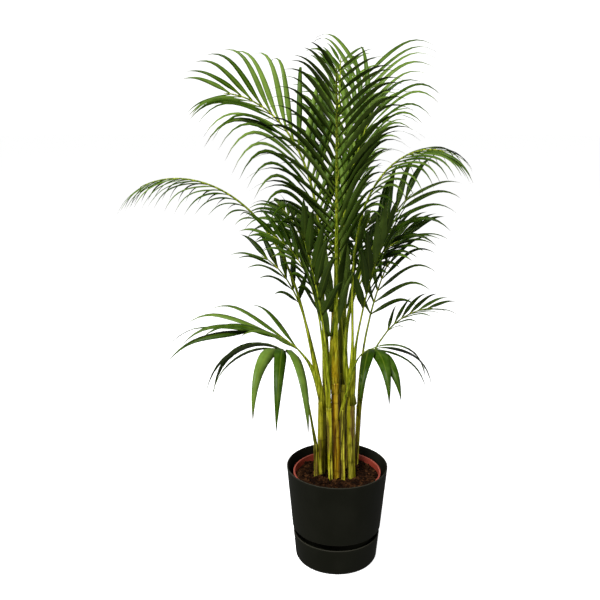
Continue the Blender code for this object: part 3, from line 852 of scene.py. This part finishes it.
def seam_at(height, turn, seams):
    """How deep an old sheath's edge is on a spot of a cane."""
    seam = 0.0
    for aim, drift in seams:
        away = math.sin(0.5 * (turn - aim - drift * height)) * 2
        seam = max(seam, math.exp(-((away / SEAM_WIDTH) ** 2)))
    return seam


def build_cane(node, material, chance):
    """A stem with ring scars, the seams of old leaf sheaths and dry scraps of them."""
    rings = cane_stations(node)
    foot, head = rings[0][0], rings[-1][0]
    low_radius, high_radius = rings[1][1], rings[-1][1]
    length = np.linalg.norm(head - foot)
    count = round(length / CANE_STEP)
    phase = chance.uniform(0, 1)
    tone = chance.random()
    scraps = [
        tuple(chance.uniform(*span) for span in (SCRAP_PLACES, (0, 2 * math.pi), SCRAP_SIZES))
        for _ in range(SCRAPS)
    ]
    seams = [
        (chance.uniform(0, 2 * math.pi), chance.uniform(-SEAM_DRIFT, SEAM_DRIFT))
        for _ in range(SEAMS)
    ]
    points, scars, husks, seam_values = [], [], [], []
    for k in range(count + 1):
        share = k / count
        centre = foot + (head - foot) * share
        height = share * length
        cycle = (height / SCAR_SPACING + phase) % 1.0
        scar = scar_at(cycle)
        bulge = math.exp(-((cycle - SWELL_AT) / SWELL_REACH) ** 2)
        radius = blend(low_radius, high_radius, share) * (1 + SWELL * bulge - SCAR_DEPTH * scar)
        for j in range(CANE_SIDES):
            turn = 2 * math.pi * j / CANE_SIDES
            outward = np.array([math.cos(turn), math.sin(turn), 0])
            spot = Vector(outward * ROUGH_ROUND)
            spot.z = height * ROUGH_ALONG + tone * ROUGH_APART
            rough = 1 + CANE_ROUGHNESS * noise.noise(spot)
            husk = husk_at(share, turn, length, scraps)
            husk *= 0.5 + 0.5 * (noise.noise(spot * TEAR_SCALE) > TEAR_LEVEL)
            seam = seam_at(height, turn, seams)
            lump = 1 + SCRAP_RISE * husk - SEAM_DEPTH * seam
            points.append(centre + radius * rough * lump * outward)
            scars.append(scar)
            husks.append(husk)
            seam_values.append(seam)
    faces = tube_faces(count + 1, CANE_SIDES)
    faces.append(lid_face(count + 1, CANE_SIDES))
    shape = Shape("ring", "husk", "seam", "tone")
    shape.add(points, faces, ring=scars, husk=husks, seam=seam_values, tone=tone)
    piece = shape.build(node + "_stem", [material])
    settle(piece, node)


# ---------------------------------------------------------------- pots


def profile_of(node):
    """Radius and height of the CAD pot's section, in order along its skin."""
    solid = Solid(node)
    on_plane = {k for k, p in enumerate(solid.points) if abs(p[1]) < WELD and p[0] > -WELD}
    links = {k: [m for m in solid.mates[k] if m in on_plane] for k in on_plane}
    ends = [k for k, mates in links.items() if len(mates) == 1]
    start = min(ends, key=lambda k: solid.points[k][2])
    order = [start]
    while True:
        further = [m for m in links[order[-1]] if m not in order]
        if not further:
            break
        order.append(further[0])
    return [(solid.points[k][0], solid.points[k][2]) for k in order]


def rounded(profile, radius):
    """The section with each corner cut by a short arc, and how near each point is to a corner."""
    out = [(*profile[0], 0.0)]
    for before, here, after in zip(profile, profile[1:], profile[2:]):
        here = np.array(here)
        back = np.array(before) - here
        on = np.array(after) - here
        bend = math.acos(max(-1, min(1, unit(back) @ -unit(on))))
        if bend < SHARPEST_SMOOTH:
            out.append((*here, 0.0))
            continue
        reach = min(radius, *(CORNER_SHARE * np.linalg.norm(run) for run in (back, on)))
        a = here + unit(back) * reach
        b = here + unit(on) * reach
        for t in CORNER_STOPS:
            spot = (1 - t) ** 2 * a + 2 * t * (1 - t) * here + t**2 * b
            out.append((*spot, 1.0 - abs(2 * t - 1)))
    out.append((*profile[-1], 0.0))
    return out


def split_long(profile):
    """The section with long straight runs divided."""
    out = [profile[0]]
    for before, after in zip(profile, profile[1:]):
        gap = math.dist(before[:2], after[:2])
        count = max(1, math.ceil(gap / POT_RUN))
        for k in range(1, count + 1):
            out.append(tuple(blend(a, b, k / count) for a, b in zip(before, after)))
    return out


def build_pot(node, material):
    """The CAD pot's section with rounded edges, turned round the upright axis."""
    section = split_long(rounded(profile_of(node), POT_EDGE))
    if section[0][0] > AXIS_RADIUS:
        section.insert(0, (0.0, section[0][1], 0.0))
    if section[-1][0] > AXIS_RADIUS:
        section.append((0.0, section[-1][1], 0.0))
    inner = section[1:-1]
    points, edges = [], []
    for radius, height, edge in inner:
        points += circle(radius, height, POT_SIDES)
        # edge: nearness to a rounded corner, where the pot material paints a highlight
        edges += [edge] * POT_SIDES
    points += [(0, 0, section[0][1]), (0, 0, section[-1][1])]
    edges += [0.0, 0.0]
    low, high = len(points) - 2, len(points) - 1
    faces = []
    for k in range(len(inner) - 1):
        faces += closed_ring_faces(POT_SIDES * k, POT_SIDES * (k + 1), POT_SIDES)
    last = POT_SIDES * (len(inner) - 1)
    for k in range(POT_SIDES):
        after = (k + 1) % POT_SIDES
        faces.append((low, after, k))
        faces.append((high, last + k, last + after))
    shape = Shape("edge")
    shape.add(points, faces, edge=edges)
    piece = shape.build(node + "_shell", [material])
    settle(piece, node)


# ---------------------------------------------------------------- soil


def soil_lift(x, y):
    """Height of the bed above its level."""
    return sum(
        rise * noise.noise(Vector((x * fine, y * fine, layer))) for fine, layer, rise in SOIL_LUMPS
    )


def build_soil(material):
    """A bed of lumpy potting mix with loose crumbs and bark on it."""
    low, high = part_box("soil")
    points = Solid("soil").points
    radii = np.linalg.norm(points[:, :2], axis=1)
    brim = radii[points[:, 2] > high[2] - SOIL_RIM].max()
    level = (high[2] + points[radii > brim - SOIL_FOOT][:, 2].max()) / 2 - SOIL_SINK
    foot = radii[points[:, 2] < low[2] + SOIL_FOOT].max()
    shape = Shape("tone")
    bed = [(0, 0, level + soil_lift(0, 0))]
    for ring in range(1, SOIL_RINGS + 1):
        fall = BRIM_FALL * smooth((ring / SOIL_RINGS - BRIM_FROM) / (1 - BRIM_FROM))
        for x, y, z in circle(brim * ring / SOIL_RINGS, level, SOIL_SPOKES):
            bed.append((x, y, z + soil_lift(x, y) - fall))
    faces = [(0, 1 + k, 1 + (k + 1) % SOIL_SPOKES) for k in range(SOIL_SPOKES)]
    for ring in range(SOIL_RINGS - 1):
        inner = 1 + SOIL_SPOKES * ring
        faces += flipped(closed_ring_faces(inner, inner + SOIL_SPOKES, SOIL_SPOKES))
    outer = 1 + SOIL_SPOKES * (SOIL_RINGS - 1)
    bottom = len(bed)
    bed += circle(foot, low[2], SOIL_SPOKES)
    faces += flipped(closed_ring_faces(outer, bottom, SOIL_SPOKES))
    faces.append(tuple(range(len(bed) - 1, bottom - 1, -1)))
    fine, layer = SOIL_TONE
    tones = [0.5 + 0.5 * noise.noise(Vector((x * fine, y * fine, layer))) for x, y, _ in bed]
    shape.add(bed, faces, tone=tones)
    chance = random.Random(11)
    for _ in range(CRUMBS):
        radius = (brim - CRUMB_MARGIN) * math.sqrt(chance.random())
        turn = chance.uniform(0, 2 * math.pi)
        x, y = radius * math.cos(turn), radius * math.sin(turn)
        add_crumb(shape, (x, y, level + soil_lift(x, y)), chance)
    piece = shape.build("soil_bed", [material])
    settle(piece, "soil")


def add_crumb(shape, place, chance):
    """A rough flattened lump, half sunk in the bed."""
    smallest, more = CRUMB_SIZES
    size = smallest + more * chance.random() ** 2
    stretch = np.array([chance.uniform(*span) for span in CRUMB_STRETCH])
    turn = chance.uniform(0, math.pi)
    lump = bmesh.new()
    bmesh.ops.create_icosphere(lump, subdivisions=2, radius=1.0)
    points = []
    for vert in lump.verts:
        rough = 1 + CRUMB_ROUGHNESS * noise.noise(vert.co * 1.7 + Vector(place) * 900)
        spot = np.array(vert.co) * rough * stretch * size
        points.append(
            (
                place[0] + spot[0] * math.cos(turn) - spot[1] * math.sin(turn),
                place[1] + spot[0] * math.sin(turn) + spot[1] * math.cos(turn),
                place[2] + spot[2] + size * CRUMB_RISE,
            )
        )
    faces = [tuple(vert.index for vert in face.verts) for face in lump.faces]
    lump.free()
    shape.add(points, faces, tone=chance.random())


# ---------------------------------------------------------------- stage


def plain_white(name, glow):
    """A matt white that glows, so that it looks white in any light."""
    n = Nodes(name)
    n.shader.inputs["Base Color"].default_value = (0.9, 0.9, 0.9, 1)
    n.shader.inputs["Roughness"].default_value = 1.0
    n.shader.inputs["Specular IOR Level"].default_value = 0.0
    n.shader.inputs["Emission Color"].default_value = (1, 1, 1, 1)
    n.shader.inputs["Emission Strength"].default_value = glow
    return n.material


def add_stage_piece(name, mesh, glow):
    """Part of the studio: the lens sees it, and it sends no light onto the plant."""
    mesh.materials.append(plain_white(name + "_white", glow))
    piece = bpy.data.objects.new(name, mesh)
    bpy.context.scene.collection.objects.link(piece)
    piece.visible_diffuse = False
    piece.visible_glossy = False
    piece.visible_shadow = False


def build_floor():
    mesh = bpy.data.meshes.new("floor")
    reach = STUDIO_RADIUS
    corners = [(-reach, -reach, 0), (reach, -reach, 0), (reach, reach, 0), (-reach, reach, 0)]
    mesh.from_pydata(corners, [], [(0, 1, 2, 3)])
    add_stage_piece("floor", mesh, FLOOR_GLOW)


def build_backdrop():
    dome = bmesh.new()
    bmesh.ops.create_icosphere(dome, subdivisions=3, radius=STUDIO_RADIUS)
    mesh = bpy.data.meshes.new("backdrop")
    dome.to_mesh(mesh)
    dome.free()
    add_stage_piece("backdrop", mesh, BACKDROP_GLOW)


def add_light(name, place, aim, size, power):
    light = bpy.data.lights.new(name, "AREA")
    light.shape = "DISK"
    light.size = size
    light.energy = power
    lamp = bpy.data.objects.new(name, light)
    lamp.location = place
    lamp.rotation_euler = (Vector(aim) - Vector(place)).to_track_quat("-Z", "Y").to_euler()
    bpy.context.scene.collection.objects.link(lamp)


def build_stage():
    build_floor()
    build_backdrop()
    scene = bpy.context.scene
    world = bpy.data.worlds.new("studio")
    world.use_nodes = True
    background = world.node_tree.nodes["Background"]
    background.inputs["Color"].default_value = (1, 1, 1, 1)
    background.inputs["Strength"].default_value = ROOM_LIGHT
    scene.world = world
    for light in LIGHTS:
        add_light(*light)
    scene.view_settings.view_transform = "Standard"
    camera = bpy.data.cameras.new("camera")
    camera.lens = CAMERA_LENS
    camera.sensor_width = CAMERA_SENSOR
    viewer = bpy.data.objects.new("camera", camera)
    viewer.location = CAMERA_PLACE
    viewer.rotation_euler = [math.radians(angle) for angle in CAMERA_TURN]
    scene.collection.objects.link(viewer)
    scene.camera = viewer


# ---------------------------------------------------------------- assembly


def main():
    slots = {row["node"]: row["material_slot"] for row in frame["record"]["subparts"]}
    chance = random.Random(3)
    leaf_materials = [blade_material(), stalk_material()]
    canes = {slot: cane_material(slot) for slot in CANE_COLOURS}
    pots = {slot: pot_material(slot, **look) for slot, look in POT_LOOKS.items()}
    heads = [
        (*cane_stations(node)[-1], AMBER_SHARE if slots[node] == "amber_cane" else 0.0)
        for node in sorted(frame["nodes"])
        if node.startswith("cane_")
    ]
    for node in sorted(frame["nodes"]):
        slot = slots.get(node)
        if node.startswith("frond_"):
            build_frond(node, leaf_materials, heads, chance)
        elif node.startswith("cane_"):
            build_cane(node, canes[slot], chance)
        elif slot in pots:
            build_pot(node, pots[slot])
    build_soil(soil_material())
    build_stage()


main()
